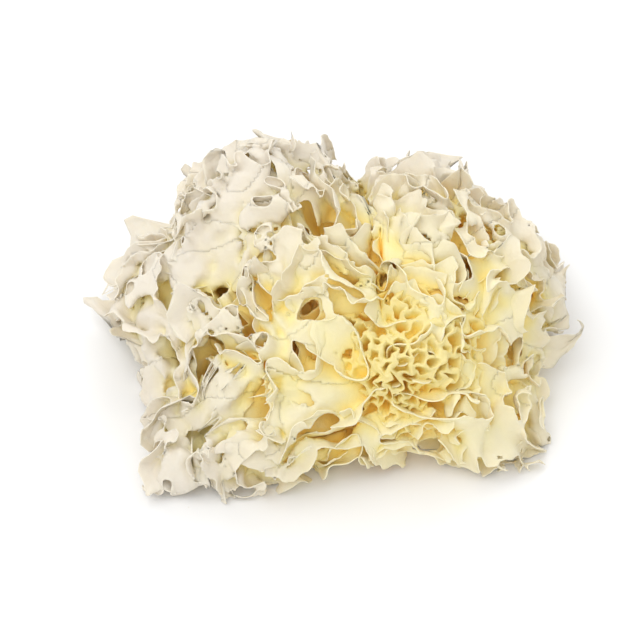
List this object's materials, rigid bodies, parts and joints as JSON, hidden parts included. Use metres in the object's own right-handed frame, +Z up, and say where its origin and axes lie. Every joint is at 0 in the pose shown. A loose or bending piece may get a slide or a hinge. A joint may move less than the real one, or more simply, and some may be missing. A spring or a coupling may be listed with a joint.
{
  "type": "snow fungus",
  "caption": "Dried snow fungus head: thin ruffled ivory fronds grown out from a yellow, honeycombed base that was cut flat.",
  "frame": {"origin": "middle of the floor area that the head covers, at the height of the base's flat cut", "axes": "+Z up from the flat cut, +X along the head's long side, and the honeycombed face of the base looks towards -Y and up"},
  "size_m": [0.1568, 0.145, 0.0674],
  "materials": {
    "fungus_base": "dry, matt jelly, deep yellow in the pits",
    "fungus_frond": "dry, thin, slightly waxy jelly, ivory with paler edges"
  },
  "bodies": {
    "root": {"base": "fungus_base", "frond_01": "fungus_frond", "frond_02": "fungus_frond", "frond_03": "fungus_frond", "frond_04": "fungus_frond", "frond_05": "fungus_frond", "frond_06": "fungus_frond", "frond_07": "fungus_frond", "frond_08": "fungus_frond", "frond_09": "fungus_frond", "frond_10": "fungus_frond", "frond_11": "fungus_frond", "frond_12": "fungus_frond", "frond_13": "fungus_frond", "frond_14": "fungus_frond", "frond_15": "fungus_frond", "frond_16": "fungus_frond", "frond_17": "fungus_frond", "frond_18": "fungus_frond", "frond_19": "fungus_frond", "frond_20": "fungus_frond", "frond_21": "fungus_frond", "frond_22": "fungus_frond", "frond_23": "fungus_frond", "frond_24": "fungus_frond", "frond_25": "fungus_frond", "frond_26": "fungus_frond", "frond_27": "fungus_frond", "frond_28": "fungus_frond", "frond_29": "fungus_frond", "frond_30": "fungus_frond", "frond_31": "fungus_frond", "frond_32": "fungus_frond", "frond_33": "fungus_frond", "frond_34": "fungus_frond", "frond_35": "fungus_frond", "frond_36": "fungus_frond", "frond_37": "fungus_frond", "frond_38": "fungus_frond", "frond_39": "fungus_frond", "frond_40": "fungus_frond", "frond_41": "fungus_frond", "frond_42": "fungus_frond", "frond_43": "fungus_frond", "frond_44": "fungus_frond", "frond_45": "fungus_frond", "frond_46": "fungus_frond", "frond_47": "fungus_frond", "frond_48": "fungus_frond", "frond_49": "fungus_frond", "frond_50": "fungus_frond", "frond_51": "fungus_frond", "frond_52": "fungus_frond", "frond_53": "fungus_frond", "frond_54": "fungus_frond", "frond_55": "fungus_frond"}
  },
  "joints": []
}
